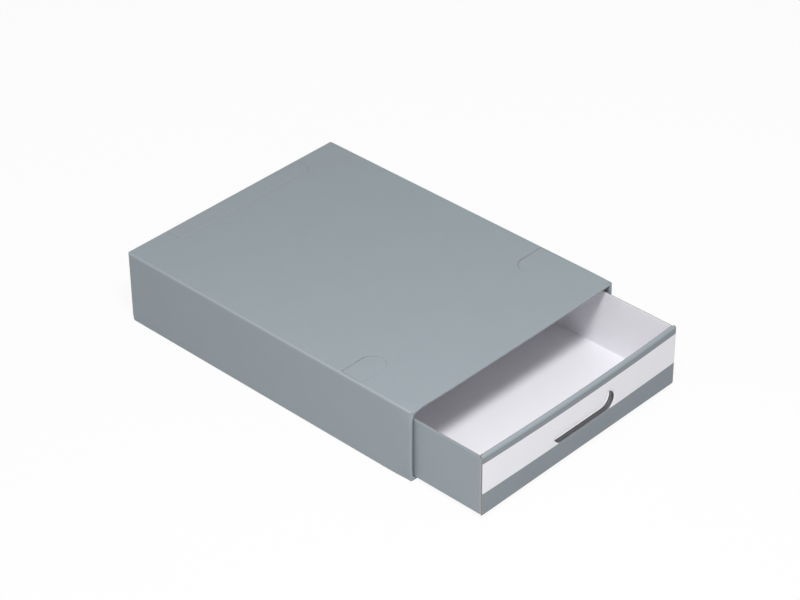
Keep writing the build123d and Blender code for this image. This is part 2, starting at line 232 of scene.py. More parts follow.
def print_colour(tree, ink=GREY):
    """Flexo-printed grey: an even tone with a faint mottle from the paper, a hint of the flutes under
    it, and a paler line at a crease, partly the ink stretched there and partly a painted highlight."""
    mottle = paper_noise(tree, 0.030, 5).outputs["Fac"]
    colour = tinted(tree, linear(ink), linear(GREY_PALE), 0.0, MOTTLE_SHARE, mottle)
    fibre = paper_noise(tree, 0.0009, 3).outputs["Fac"]
    colour = tinted(tree, colour, linear(GREY_DARK), 0.0, FIBRE_SHARE, fibre)
    flute = add_node(tree, "ShaderNodeAttribute", attribute_name="flute").outputs["Fac"]
    turn = add_node(tree, "ShaderNodeMath", {0: flute, 1: 2 * math.pi}, operation="MULTIPLY")
    ridge = add_node(tree, "ShaderNodeMath", {0: turn.outputs[0]}, operation="SINE")
    crest = add_node(tree, "ShaderNodeMapRange",
                     {0: ridge.outputs[0], 1: -1.0, 2: 1.0, 3: 0.0, 4: FLUTE_SHARE})
    colour = add_node(tree, "ShaderNodeMix", {0: crest.outputs[0], 6: colour, 7: linear(GREY_PALE)},
                      data_type="RGBA").outputs[2]
    # A paler line along a crease: partly the ink stretched there, partly a painted highlight on the fold.
    crease = add_node(tree, "ShaderNodeAttribute", attribute_name="crease").outputs["Fac"]
    return tinted(tree, colour, linear(GREY_STRETCHED_HIGHLIGHT), 0.0, CREASE_HIGHLIGHT_SHARE, crease)


def white_colour(tree, paper=WHITE):
    """Unprinted paper, faintly uneven."""
    mottle = paper_noise(tree, 0.020, 5).outputs["Fac"]
    return tinted(tree, linear(paper), linear(WHITE_DULL), 0.0, 0.5, mottle)


def fluting_colour(tree):
    """Recycled grey-brown fluting, flecked with short fibres."""
    flecks = paper_noise(tree, 0.0007, 4).outputs["Fac"]
    return tinted(tree, linear(FLUTING), linear(FLUTING_DARK), 0.0, 1.0, flecks)


def cut_colour(tree):
    """The cut edges of the papers: pale inside, flecked where the knife has dragged the fibres."""
    flecks = paper_noise(tree, 0.0011, 3).outputs["Fac"]
    return tinted(tree, linear(CUT_PAPER), linear(CUT_PAPER_DARK), 0.0, 1.0, flecks)


# Water-based flexo ink under a thin overprint varnish: a satin surface with soft, wide highlights.
printed_liner = paper_finish("flexo_printed_liner", print_colour, PRINT_ROUGHNESS, PAPER_BUMP)
# Bleached machine-finished paper: matte and bright, with a slightly cool white.
white_liner = paper_finish("white_top_liner", white_colour, 0.62, PAPER_BUMP)
# Grey on the hidden faces of the linings, a painted shade for the dark gap between the layers that shows deep
# in the handle slot: dull.
shaded_back_liner = paper_finish("painted_shade_back_liner", lambda tree: white_colour(tree, GREY_PALE), 0.7, PAPER_BUMP)
# Recycled semi-chemical fluting, die-cut: dull, fibrous and a little brown.
fluting = paper_finish("recycled_fluting", fluting_colour, 0.85, RAW_BUMP)
# The same papers where the steel rule has cut through them: matte, pale and a little ragged.
cut_edge = paper_finish("die_cut_edge", cut_colour, 0.8, RAW_BUMP)


def thickened(front, back, quads):
    """A closed skin with the quads on the front points, the same quads turned round on the back
    points, and a wall along each edge that only one quad uses.  It is turned inside out where its
    volume, the sum of a . (b x c) / 6 over its triangles, comes out negative."""
    edges = np.stack([quads, np.roll(quads, -1, 1)], 2).reshape(-1, 2)
    _, first, uses = np.unique(np.sort(edges, 1), axis=0, return_index=True, return_counts=True)
    rim = edges[first[uses == 1]]
    count = len(front)
    walls = np.column_stack([rim[:, 1], rim[:, 0], rim[:, 0] + count, rim[:, 1] + count])
    points = np.concatenate([front, back])
    faces = np.concatenate([quads, quads[:, ::-1] + count, walls])
    a, b, c, d = (points[faces[:, i]] for i in range(4))
    volume = (a * np.cross(b, c)).sum() + (a * np.cross(c, d)).sum()
    if volume < 0:
        faces = faces[:, ::-1]
    return points, faces, np.repeat((0, 1, 2), (len(quads), len(quads), len(walls)))


def board_piece(node, body, slot, place, rows, columns, across, keep=None, crease=None,
                crushed=None, outside=printed_liner, inside=white_liner):
    """A piece of board in place of a CAD node.  rows and columns are grids of the two lengths along
    the board's outer face; place(rows, columns, depth) gives the point under it; across is the grid
    that runs across the flutes.  The liners are the outermost and innermost LINER, and the medium is
    a sine between them.  keep says which cells are board, crease how stretched the print is and how
    bright the painted highlight on a fold is, and crushed how far the knife has pressed it: a depth w
    becomes w + squeeze (CRUSH_DEPTH - w)."""
    index = np.arange(rows.size).reshape(rows.shape)
    cells = np.stack([index[:-1, :-1], index[1:, :-1], index[1:, 1:], index[:-1, 1:]], -1)
    quads = cells.reshape(-1, 4) if keep is None else cells[keep]
    used, renumbered = np.unique(quads, return_inverse=True)
    quads = renumbered.reshape(-1, 4)
    r, c, turns = rows.ravel()[used], columns.ravel()[used], across.ravel()[used] / FLUTE_PITCH
    wave = np.sin(2 * np.pi * turns)
    middle = BOARD / 2 - (BOARD / 2 - LINER - MEDIUM / 2) * wave
    sunk = WASHBOARD * (1 - wave) / 2
    skins = [(sunk, sunk + LINER, 0, 2), (middle - MEDIUM / 2, middle + MEDIUM / 2, 2, 2),
             (BOARD - LINER + 0 * sunk, BOARD + 0 * sunk, 2, 1)]
    squeeze = EDGE_SQUEEZE * (np.zeros(len(r)) if crushed is None else crushed.ravel()[used])
    points, faces, papers, start = [], [], [], 0
    for near, far, near_paper, far_paper in skins:
        near, far = (w + squeeze * (CRUSH_DEPTH - w) for w in (near, far))
        skin, skin_faces, kinds = thickened(np.stack(place(r, c, near), -1),
                                            np.stack(place(r, c, far), -1), quads)
        points.append(skin)
        faces.append(skin_faces + start)
        papers.append(np.array((near_paper, far_paper, 3))[kinds])
        start += len(skin)
    points, faces = np.concatenate(points), np.concatenate(faces)
    name = node + "_board"
    mesh = bpy.data.meshes.new(name)
    mesh.vertices.add(len(points))
    mesh.vertices.foreach_set("co", points.astype(np.float32).ravel())
    mesh.loops.add(faces.size)
    mesh.loops.foreach_set("vertex_index", faces.astype(np.int32).ravel())
    mesh.polygons.add(len(faces))
    mesh.polygons.foreach_set("loop_start", np.arange(0, faces.size, 4, dtype=np.int32))
    mesh.polygons.foreach_set("material_index", np.concatenate(papers).astype(np.int32))
    for paper in (outside, inside, fluting, cut_edge):
        mesh.materials.append(paper)
    mesh.update(calc_edges=True)
    mesh.shade_smooth()
    mesh.set_sharp_from_angle(angle=SHARP_ANGLE)
    stretch_and_highlight = np.zeros(rows.shape) if crease is None else crease
    for label, values in (("flute", turns), ("crease", stretch_and_highlight.ravel()[used])):
        attribute = mesh.attributes.new(label, "FLOAT", "POINT")
        attribute.data.foreach_set("value", np.tile(values, 2 * len(skins)).astype(np.float32))
    piece = bpy.data.objects.new(name, mesh)
    bpy.context.scene.collection.objects.link(piece)
    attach(piece, body)
    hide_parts(node)
    return piece


def even(low, high, step):
    """Stations from low to high, evenly spaced by at most about a step."""
    return np.linspace(low, high, max(2, math.ceil((high - low) / step) + 1))


def crossed(rows, columns):
    """The grids of row and column lengths for every crossing of two lists."""
    return np.meshgrid(rows, columns, indexing="ij")


def crush(distance):
    """How crushed the board is at a distance from a cut edge: a bell curve from 1 at the edge."""
    return np.exp(-(distance / CRUSH_WIDTH) ** 2)


def middles(values):
    """Half way between each value and the next, in both directions of a grid: a cell's own value."""
    return (values[:-1, :-1] + values[1:, 1:]) / 2


# ------------------------------------------------------------------------------ the sleeve's top
# The top panel of the sleeve, with its flutes across the box.  Its front edge sags a little between
# the side walls, and three tongues are cut in it but for small nicks.
MILLIMETRE = 0.001
CREASE_RADIUS = 0.002
TOP_SAG = 0.0017              # at the middle of the mouth
SAG_REACH = 0.150             # from the mouth to where the panel is flat again
TONGUE_CUT = 0.00026          # width of the cut round a tongue
TONGUE_SHIFT = 0.00013        # how far the side tongues have crept forwards, so the far cut is wider
TONGUE_CRUSH = 0.75           # how crushed the cuts are, as a share of the other cut edges
CUT_EDGE = 0.00001            # between the two rows that make a square corner
SAG_COLUMNS = 11              # across the middle, where the rear tongue is
EDGE_SHARES = np.array([0, 0.03, 0.07, 0.13, 0.25, 0.55, 1])  # columns, closer to a crease
CORNER_GIVE = 0.0022          # how far wear has pushed in the mouth's upper left corner, across and down
CORNER_WIDTH = 0.0055
RIGHT_GIVE = 0.15             # the right corners' share of that
LOWER_ACROSS = 0.5            # the lower corners' shares of it, less, so as to clear the drawer
LOWER_UP = 0.15
CORNER_REACH = 0.030

top_low, top_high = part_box("sleeve_top_panel")
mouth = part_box("front_hem_top")[0].y
sleeve_top = top_high.z
half_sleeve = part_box("sleeve_right_wall")[1].x
crease_x = top_high.x
tongue_low, tongue_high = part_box("stacking_tongue_left")
tongue_radius = (tongue_high.y - tongue_low.y) / 2
tongue_middle = (tongue_high.y + tongue_low.y) / 2
tongue_round_x = -tongue_high.x + tongue_radius
rear_tongue_low, rear_tongue_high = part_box("stacking_tongue_rear")
rear_tongue_corner = 7 * MILLIMETRE


def sag(x, y):
    """How far the top hangs down: TOP_SAG at the middle of the mouth, falling off with the fourth
    power of x towards the walls and with the square of the way left to the flat part."""
    back = np.clip(1 - (y - mouth) / SAG_REACH, 0, 1)
    return TOP_SAG * (1 - np.clip(np.abs(x) / crease_x, 0, 1) ** 4) * back ** 2


def softened(x, y, z):
    """A point of the sleeve after wear has softened the corners of its mouth: moved inwards, across
    and up or down, by CORNER_GIVE exp(-(r / CORNER_WIDTH)^2) (1 - d / CORNER_REACH)^2, r away from the
    centre of the crease and d behind the mouth."""
    upper = z > sleeve_top / 2
    centre_z = np.where(upper, sleeve_top - CREASE_RADIUS, CREASE_RADIUS)
    away = np.hypot(np.abs(x) - crease_x, z - centre_z)
    back = np.clip(1 - (y - mouth) / CORNER_REACH, 0, 1)
    give = CORNER_GIVE * np.exp(-(away / CORNER_WIDTH) ** 2) * back ** 2
    give = give * np.where(x < 0, 1.0, RIGHT_GIVE)
    across, up = np.where(upper, 1.0, LOWER_ACROSS), np.where(upper, -1.0, LOWER_UP)
    return x - np.sign(x) * across * give, y, z + up * give


def on_top(y, x, depth):
    """A point of the top panel, by its distance back and across."""
    x, y, z = softened(x, y, sleeve_top - depth)
    return x, y, z - sag(x, y)


def side_tongue_edge(y, grow):
    """How far out, on either side, the panel starts beside a side tongue: at the crease away from it,
    and round it on a half circle whose radius is the tongue's own plus grow."""
    radius = tongue_radius + grow
    way = np.clip(1 - ((y - tongue_middle) / radius) ** 2, 0, None)
    return np.where(way > 0, tongue_round_x - radius * np.sqrt(way), crease_x)


def rear_tongue_half(y, grow):
    """Half the width of the rear tongue at y, plus grow, with its rounded corners."""
    corner = rear_tongue_corner + grow
    left = np.clip((rear_tongue_low.y + rear_tongue_corner - y) / corner, 0, 1)
    return rear_tongue_high.x + grow - corner * (1 - np.sqrt(1 - left ** 2))


def tongue_crush(y, x):
    """How crushed the top is beside the cuts round the tongues: TONGUE_CRUSH times 0.4 + 0.6 t beside
    a side tongue, t from -1 at its near side to 1 at its far side, and times 0.5 at the rear one."""
    out = np.abs(x)
    side_cut = np.where(out > tongue_round_x, np.abs(np.abs(y - tongue_middle) - tongue_radius),
                        np.abs(np.hypot(out - tongue_round_x, y - tongue_middle) - tongue_radius))
    far = np.clip(0.4 + 0.6 * (y - tongue_middle) / tongue_radius, 0, 1)
    rear_cut = np.where(y > rear_tongue_low.y, np.abs(out - rear_tongue_high.x), np.inf)
    rear_cut = np.where(out < rear_tongue_high.x, np.abs(y - rear_tongue_low.y), rear_cut)
    return TONGUE_CRUSH * np.maximum(far * crush(side_cut), 0.5 * crush(rear_cut))


hole_near = tongue_middle - tongue_radius - TONGUE_CUT
hole_far = tongue_middle + tongue_radius + TONGUE_CUT
rear_hole = rear_tongue_low.y - TONGUE_CUT
arc_rows = tongue_middle + (tongue_radius + TONGUE_CUT) * np.cos(np.linspace(0, np.pi, 40))
corner_rows = rear_hole + rear_tongue_corner * (1 - np.cos(np.linspace(0, np.pi / 2, 10)))
top_rows = np.unique(np.concatenate([
    even(top_low.y, top_high.y, FLUTE_STEP), arc_rows, corner_rows,
    (hole_near - CUT_EDGE, hole_far + CUT_EDGE, rear_hole - CUT_EDGE)]))
edge = side_tongue_edge(top_rows, TONGUE_CUT)[:, None]
rear_half = rear_tongue_half(top_rows, TONGUE_CUT)[:, None]
inner_share = np.linspace(-1, 1, SAG_COLUMNS)[1:-1]
top_columns = np.hstack([-edge + (edge - rear_half) * EDGE_SHARES, rear_half * inner_share,
                         edge - (edge - rear_half) * EDGE_SHARES[::-1]])
top_row_grid = np.repeat(top_rows[:, None], top_columns.shape[1], 1)
in_rear_hole = np.abs(middles(top_columns)) < rear_tongue_high.x * 0.98  # short of its side columns
top_keep = ~((middles(top_row_grid) > rear_hole) & in_rear_hole)
top_keep[:, :len(EDGE_SHARES) - 1] = True
top_keep[:, -len(EDGE_SHARES) + 1:] = True
board_piece("sleeve_top_panel", "sleeve", "grey_board", on_top, top_row_grid, top_columns, top_row_grid,
            keep=top_keep, crushed=tongue_crush(top_row_grid, top_columns))

# ------------------------------------------------------------------------------ the sleeve's walls
# The side walls, folded down from the top on creases of 2 mm radius.  The left one turns in again at
# its foot to the bottom panel, and the right one to the glue flap that lies on the bottom panel.
WALL_END_GAP = 0.6 * MILLIMETRE
NEAR_CREASE = np.array([2.0, 5.0, 10.0]) * MILLIMETRE  # extra stations beside a wall's creases
wall_low, wall_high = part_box("sleeve_left_wall")
wall_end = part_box("sleeve_rear_panel")[1].y - 2 * BOARD - WALL_END_GAP


def along_fold(p, w, start, heading, runs):
    """The point at p along a folded board's outer face, and w under it.  The face starts at a point
    with a heading in degrees.  A run is a straight length, or (radius, turn in degrees) for a bend to
    the right, whose points are its centre plus radius - w outwards."""
    p, w = np.broadcast_arrays(p, w)
    u, v = np.zeros(p.shape), np.zeros(p.shape)
    at, angle, done = np.array(start, float), math.radians(heading), 0.0
    for run in runs:
        ahead = np.array((math.cos(angle), math.sin(angle)))
        right = np.array((ahead[1], -ahead[0]))
        here = p >= done - 1e-9
        if isinstance(run, tuple):
            radius, turn = run[0], math.radians(run[1])
            centre = at + radius * right
            outwards = angle + math.pi / 2 - (p - done) / radius
            u = np.where(here, centre[0] + (radius - w) * np.cos(outwards), u)
            v = np.where(here, centre[1] + (radius - w) * np.sin(outwards), v)
            angle -= turn
            at = centre + radius * np.array((math.cos(angle + math.pi / 2), math.sin(angle + math.pi / 2)))
            done += radius * turn
        else:
            u = np.where(here, at[0] + ahead[0] * (p - done) + right[0] * w, u)
            v = np.where(here, at[1] + ahead[1] * (p - done) + right[1] * w, v)
            at = at + ahead * run
            done += run
    return u, v


def fold_lengths(runs):
    """The length of each run: a bend's is its radius times its turn."""
    return [run[0] * math.radians(run[1]) if isinstance(run, tuple) else run for run in runs]


def fold_stations(runs, step=None):
    """Stations along a fold: BEND_STEPS to a bend, and one or more to a straight run."""
    found, done = [np.zeros(1)], 0.0
    for run, length in zip(runs, fold_lengths(runs)):
        steps = BEND_STEPS if isinstance(run, tuple) else 3
        if step:
            steps = max(2, math.ceil(length / step))
        found.append(done + length * np.arange(1, steps + 1) / steps)
        done += length
    return np.concatenate(found)


def crease_stretch_and_highlight(p, runs):
    """How stretched the print is at p along a fold, and how bright the painted highlight on it is: 1 at
    the middle of a bend, falling off as a bell curve whose width is a third of the bend."""
    stretch_and_highlight, done = np.zeros(np.shape(p)), 0.0
    for run, length in zip(runs, fold_lengths(runs)):
        if isinstance(run, tuple):
            stretch_and_highlight = np.maximum(stretch_and_highlight, np.exp(-((p - done - length / 2) / (length / 3)) ** 2))
        done += length
    return stretch_and_highlight


def sleeve_wall(node, side, foot):
    """A side wall from its lower crease, at foot above the ground, up to the crease with the top."""
    runs = [(CREASE_RADIUS, 90), sleeve_top - 2 * CREASE_RADIUS - foot, (CREASE_RADIUS, 90)]
    lengths = fold_lengths(runs)
    stations = np.unique(np.concatenate([fold_stations(runs), lengths[0] + NEAR_CREASE,
                                         lengths[0] + lengths[1] - NEAR_CREASE]))
    rows, columns = crossed(np.unique(np.append(even(wall_low.y, wall_high.y, FLUTE_STEP), wall_end)),
                            stations)

    def place(y, p, w):
        x, z = along_fold(p, w, (-crease_x, foot), 180, runs)
        return softened(side * -x, y, z)

    keep = (middles(rows) < wall_end) | (middles(columns) > lengths[0] + lengths[1])
    board_piece(node, "sleeve", "grey_board", place, rows, columns, rows, keep=keep,
                crease=crease_stretch_and_highlight(columns, runs))


sleeve_wall("sleeve_left_wall", -1, 0.0)
sleeve_wall("sleeve_right_wall", 1, BOARD)

# ------------------------------------------------------------------------------ under the sleeve
# The bottom panel, slotted beside the walls and notched at the rear for the tongues of a box below,
# and the glue flap that lies on it along the right side and closes the sleeve.
TONGUE_CLEAR = 0.75 * MILLIMETRE  # beside a tongue in its slot
TONGUE_SLACK = 0.3 * MILLIMETRE   # and across its thickness
SHEET_STEP = 0.02                 # between stations along the flutes of a flat piece
bottom_low, bottom_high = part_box("sleeve_bottom_panel")
flap_low, flap_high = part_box("sleeve_glue_flap")
slot_half = tongue_radius + TONGUE_CLEAR
slot_width = BOARD + TONGUE_SLACK
notch_half = rear_tongue_high.x + TONGUE_CLEAR
notch_near = rear_tongue_high.y - BOARD


def square_holed(rows, columns, holes):
    """Which cells of a grid are outside a list of holes, each low and high along both lengths."""
    keep = np.ones((rows.shape[0] - 1, rows.shape[1] - 1), bool)
    r, c = middles(rows), middles(columns)
    for r_low, r_high, c_low, c_high in holes:
        keep &= ~((r > r_low) & (r < r_high) & (c > c_low) & (c < c_high))
    return keep


def flat_sheet(node, body, slot, box, face_up, holes=(), flutes_back=False, **papers):
    """A flat piece of board in a CAD node's box, printed side up or down, with square holes."""
    low, high = box
    face = high.z if face_up else low.z
    under = -1 if face_up else 1
    row_edges = [h[0] for h in holes] + [h[1] for h in holes]
    column_edges = [h[2] for h in holes] + [h[3] for h in holes]
    steps = (SHEET_STEP, FLUTE_STEP) if flutes_back else (FLUTE_STEP, SHEET_STEP)
    stations = [np.unique(np.concatenate([even(*ends, step), np.clip(edges, *ends)]))
                for ends, step, edges in (((low.y, high.y), steps[0], row_edges),
                                          ((low.x, high.x), steps[1], column_edges))]
    rows, columns = crossed(*stations)
    board_piece(node, body, slot, lambda y, x, w: (x, y, face + under * w + 0 * x), rows, columns,
                columns if flutes_back else rows, keep=square_holed(rows, columns, holes), **papers)


# The side slots run a little past the panel's side edges, and the notch runs out past its rear edge.
side_slots = [(tongue_middle - slot_half, tongue_middle + slot_half,
               *sorted((side * (crease_x - slot_width), side * crease_x * 1.01))) for side in (-1, 1)]
rear_notch = (notch_near, 1.0, -notch_half, notch_half)
flat_sheet("sleeve_bottom_panel", "sleeve", "grey_board", (bottom_low, bottom_high), False,
           holes=[*side_slots, rear_notch])
flat_sheet("sleeve_glue_flap", "sleeve", "grey_board", (flap_low, flap_high), False, holes=side_slots[1:])

# ------------------------------------------------------------------------------ the rear of the sleeve
# The rear panel, folded down from the top with its flutes across, over two dust flaps folded in from
# the walls, with two lugs at its foot that turn in over the bottom panel and hold it shut.
rear_low, rear_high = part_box("sleeve_rear_panel")
lug_low, lug_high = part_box("rear_tuck_lug_left")
dust_low, dust_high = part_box("rear_dust_flap_left")
LUG_CORNER = 6 * MILLIMETRE
REAR_STEP = 0.04              # between stations along the rear panel's flutes
rear_runs = [(CREASE_RADIUS, 90), rear_high.z - CREASE_RADIUS - rear_low.z]
skirt_half = -lug_high.x - CREASE_RADIUS
skirt_top = lug_low.z + CREASE_RADIUS
skirt_start = sum(fold_lengths(rear_runs)) - (skirt_top - rear_low.z)
rows, columns = crossed(np.unique(np.append(fold_stations(rear_runs, FLUTE_STEP), skirt_start)),
                        np.unique(np.append(even(-crease_x, crease_x, REAR_STEP), (-skirt_half, skirt_half))))
board_piece("sleeve_rear_panel", "sleeve", "grey_board",
            lambda p, x, w: (x, *along_fold(p, w, (rear_high.y - CREASE_RADIUS, sleeve_top), 0, rear_runs)),
            rows, columns, rows, crease=crease_stretch_and_highlight(rows, rear_runs),
            keep=(middles(rows) < skirt_start) | (np.abs(middles(columns)) < skirt_half))

dust_runs = [(CREASE_RADIUS, 90), dust_high.x + crease_x]
lug_runs = [(CREASE_RADIUS, 90), lug_high.y - CREASE_RADIUS - lug_low.y]


def rear_dust_flap(node, side):
    """A dust flap: round its upright crease and towards the middle, its flutes upright."""
    def place(p, z, w):
        x, y = along_fold(p, w, (-half_sleeve, dust_high.y - CREASE_RADIUS), 90, dust_runs)
        return side * -x, y, z
    rows, columns = crossed(fold_stations(dust_runs, FLUTE_STEP), np.linspace(dust_low.z, dust_high.z, 3))
    board_piece(node, "sleeve", "grey_board", place, rows, columns, rows,
                crease=crease_stretch_and_highlight(rows, dust_runs))


def rear_tuck_lug(node, side):
    """A lug: down from the rear panel, round its crease, and forwards to its two rounded corners."""
    def half_width(p):
        left = np.clip(1 - (sum(fold_lengths(lug_runs)) - p) / LUG_CORNER, 0, 1)
        return (lug_high.x - lug_low.x) / 2 - LUG_CORNER * (1 - np.sqrt(1 - left ** 2))

    def place(p, share, w):
        y, z = along_fold(p, w, (lug_high.y, lug_high.z), -90, lug_runs)
        return side * -((lug_low.x + lug_high.x) / 2 + share * half_width(p)), y, z
    rows, columns = crossed(fold_stations(lug_runs, FLUTE_STEP), np.linspace(-1, 1, 5))
    board_piece(node, "sleeve", "grey_board", place, rows, columns, rows,
                crease=crease_stretch_and_highlight(rows, lug_runs))


for side, label in ((-1, "left"), (1, "right")):
    rear_dust_flap("rear_dust_flap_" + label, side)
    rear_tuck_lug("rear_tuck_lug_" + label, side)

# ------------------------------------------------------------------------------ the hems at the mouth
# All four edges of the mouth are turned in and lie flat against their panels, so that no cut edge
# shows in front.  The flaps' ends are mitred, and the side ones spring away a little at the top.
HEM_MITRE_INSET = 12.6 * MILLIMETRE
HEM_MITRE_DEPTH = 5.2 * MILLIMETRE
HEM_CLEAR = 0.1 * MILLIMETRE
HEM_SPRING = {"top": 0.0, "bottom": 0.0, "left": 1.0 * MILLIMETRE, "right": 0.3 * MILLIMETRE}
hem_thickness = 2 * BOARD + HEM_CLEAR
hem_radius = hem_thickness / 2
nose_length = math.pi * hem_radius


def round_the_corner(x, z):
    """Pulls a point beyond a corner of the sleeve's outline onto the corner's quarter circle."""
    centre_x = np.sign(x) * crease_x
    centre_z = np.where(z > sleeve_top / 2, sleeve_top - CREASE_RADIUS, CREASE_RADIUS)
    beyond = (np.abs(x) > crease_x) & (np.abs(z - sleeve_top / 2) > sleeve_top / 2 - CREASE_RADIUS)
    away = np.hypot(x - centre_x, z - centre_z)
    pull = np.where(beyond, np.minimum(1, CREASE_RADIUS / np.maximum(away, 1e-9)), 1)
    return centre_x + (x - centre_x) * pull, centre_z + (z - centre_z) * pull


def front_hem(label):
    """A hem: half an ellipse from the panel's face round to a thickness below it, then straight back.
    It is as wide as its edge, less the depth below the face on the nose, and mitred beyond it."""
    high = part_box("front_hem_" + label)[1]
    level = label in ("top", "bottom")
    outer_half = (half_sleeve if level else sleeve_top / 2) - HEM_CLEAR
    reach = high.y - mouth - hem_radius

    def place(p, share, w):
        thick = hem_thickness + HEM_SPRING[label] * (1 + share) / 2
        turn = np.clip(p / hem_radius, 0, math.pi)
        y = mouth + hem_radius - (hem_radius - w) * np.sin(turn) + np.clip(p - nose_length, 0, None)
        depth = thick / 2 - (thick / 2 - w) * np.cos(turn)
        back = np.clip(p - nose_length, 0, None)
        half = outer_half - np.minimum(depth, hem_thickness) * (turn < math.pi)
        half = half - hem_thickness * (turn >= math.pi)
        half = half - HEM_MITRE_INSET * np.clip(back / HEM_MITRE_DEPTH, 0, 1)
        half = half - np.clip(back - HEM_MITRE_DEPTH, 0, None)
        if level:
            x, z = share * half, depth if label == "bottom" else sleeve_top - depth
        else:
            x, z = (-1 if label == "left" else 1) * (half_sleeve - depth), sleeve_top / 2 + share * half
        x, z = round_the_corner(x, z)
        x, y, z = softened(x, y, z)
        return x, y, z - (sag(x, y) if label == "top" else 0)

    rows, columns = crossed(np.unique(np.concatenate([even(0, nose_length, FLUTE_STEP / 2),
                                                      even(nose_length, nose_length + reach, FLUTE_STEP)])),
                            np.linspace(-1, 1, 21))
    # The hem's nose gets half a crease's paler print: stretched ink and a painted highlight on the fold.
    stretch_and_highlight = 0.5 * np.exp(-((rows - nose_length / 2) / (nose_length / 3)) ** 2)
    board_piece("front_hem_" + label, "sleeve", "grey_board", place, rows, columns, rows, crease=stretch_and_highlight)


for label in ("top", "bottom", "left", "right"):
    front_hem(label)

# ------------------------------------------------------------------------------ the stacking tongues
# Three tongues in the top: the die cuts round them but leaves nicks of uncut board, and they are
# pressed out only where a second box stands on this one.  Each hangs from a body of its own.
NICK_EVERY = 4.6 * MILLIMETRE
NICK_LENGTH = 1.3 * MILLIMETRE
NICK_STEP = 0.65 * MILLIMETRE


def nicked(distance):
    """Whether a nick is left at a distance along the cut."""
    return np.mod(distance, NICK_EVERY) < NICK_LENGTH


def side_tongue(node, body, side):
    """A side tongue: rows along the box, each from the crease to the half circle, with one more row
    and column for the nicks, which reach across the cut."""
    start = -tongue_low.x
    angles = np.linspace(-np.pi / 2, np.pi / 2, 49)
    y = tongue_middle + tongue_radius * np.sin(angles)
    end = tongue_round_x - tongue_radius * np.cos(angles)
    straight = start - tongue_round_x
    share = np.linspace(0, 1, math.ceil(straight / NICK_STEP) + 1)
    columns = start + (end[:, None] - start) * share
    rows = np.repeat(y[:, None], len(share), 1)
    columns = np.hstack([columns, (end - TONGUE_CUT * np.cos(angles))[:, None]])
    rows = np.hstack([rows, (y + TONGUE_CUT * np.sin(angles))[:, None]])
    columns = np.vstack([columns[:1], columns, columns[-1:]])
    rows = np.vstack([rows[:1] - TONGUE_CUT, rows, rows[-1:] + TONGUE_CUT])
    keep = np.ones((rows.shape[0] - 1, rows.shape[1] - 1), bool)
    keep[[0, -1], :-1] = nicked(start - middles(columns)[[0, -1], :-1])
    keep[[0, -1], -1] = False
    keep[1:-1, -1] = nicked(straight + tongue_radius * (angles[:-1] + np.pi / 2))
    board_piece(node, body, "grey_board", lambda y, x, w: on_top(y - TONGUE_SHIFT, side * x, w),
                rows, columns, rows, keep=keep, crushed=tongue_crush(rows, columns))


side_tongue("stacking_tongue_left", "left_stacking_tongue", -1)
side_tongue("stacking_tongue_right", "right_stacking_tongue", 1)

tongue_y = np.unique(np.concatenate([corner_rows + TONGUE_CUT,
                                     even(rear_tongue_low.y, rear_tongue_high.y, FLUTE_STEP)]))
rear_share = even(-1, 1, 1.1 * MILLIMETRE / rear_tongue_high.x)
columns = rear_tongue_half(tongue_y, 0)[:, None] * rear_share
columns = np.hstack([columns[:, :1] - TONGUE_CUT, columns, columns[:, -1:] + TONGUE_CUT])
rows = np.repeat(tongue_y[:, None], columns.shape[1], 1)
columns = np.vstack([columns[:1], columns])
rows = np.vstack([rows[:1] - TONGUE_CUT, rows])
tongue_keep = np.ones((rows.shape[0] - 1, rows.shape[1] - 1), bool)
tongue_keep[0] = nicked(middles(columns)[0])
past_corner = middles(rows)[:, :1] > rear_tongue_low.y + rear_tongue_corner
tongue_keep[:, [0, -1]] = past_corner & nicked(middles(rows)[:, :1])
board_piece("stacking_tongue_rear", "rear_stacking_tongue", "grey_board", on_top, rows, columns, rows,
            keep=tongue_keep, crushed=tongue_crush(rows, columns))

# ------------------------------------------------------------------------------ the drawer's floor
# One panel with its flutes from front to rear, white inside, with four slots that hold down the
# tabs of the two linings.
wall_box_low, wall_box_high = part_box("drawer_left_wall")
floor_low, floor_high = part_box("drawer_floor")
drawer_base, floor_top = floor_low.z, floor_high.z
half_drawer = -wall_box_low.x
LAYER = BOARD + HEM_CLEAR
WALL_SETBACK = LAYER + CREASE_RADIUS
drawer_front = wall_box_low.y - WALL_SETBACK
drawer_back = wall_box_high.y + WALL_SETBACK
TAB_HALF = 15 * MILLIMETRE
TAB_OFFSET = 60 * MILLIMETRE
tab_slots = [(*sorted((face + way * (2 * LAYER - HEM_CLEAR),
                       face + way * (2 * LAYER + BOARD + HEM_CLEAR))),
              middle - TAB_HALF - HEM_CLEAR, middle + TAB_HALF + HEM_CLEAR)
             for face, way in ((drawer_front, 1), (drawer_back, -1)) for middle in (-TAB_OFFSET, TAB_OFFSET)]
flat_sheet("drawer_floor", "drawer", "white_board", (floor_low, floor_high), False, holes=tab_slots,
           flutes_back=True)

# ------------------------------------------------------------------------------ the drawer's walls
# The side walls, folded up from the floor with their flutes lengthwise.  Their top edge is the bare
# cut of the board, which shows as a thin pale line between the grey outside and the white inside.
WALL_CRUSH = 1.15             # how crushed the top edge is, beside the other cut edges
WALL_STEP = 0.03              # between stations along the flutes
side_runs = [(CREASE_RADIUS, 90), wall_box_high.z - drawer_base - CREASE_RADIUS]


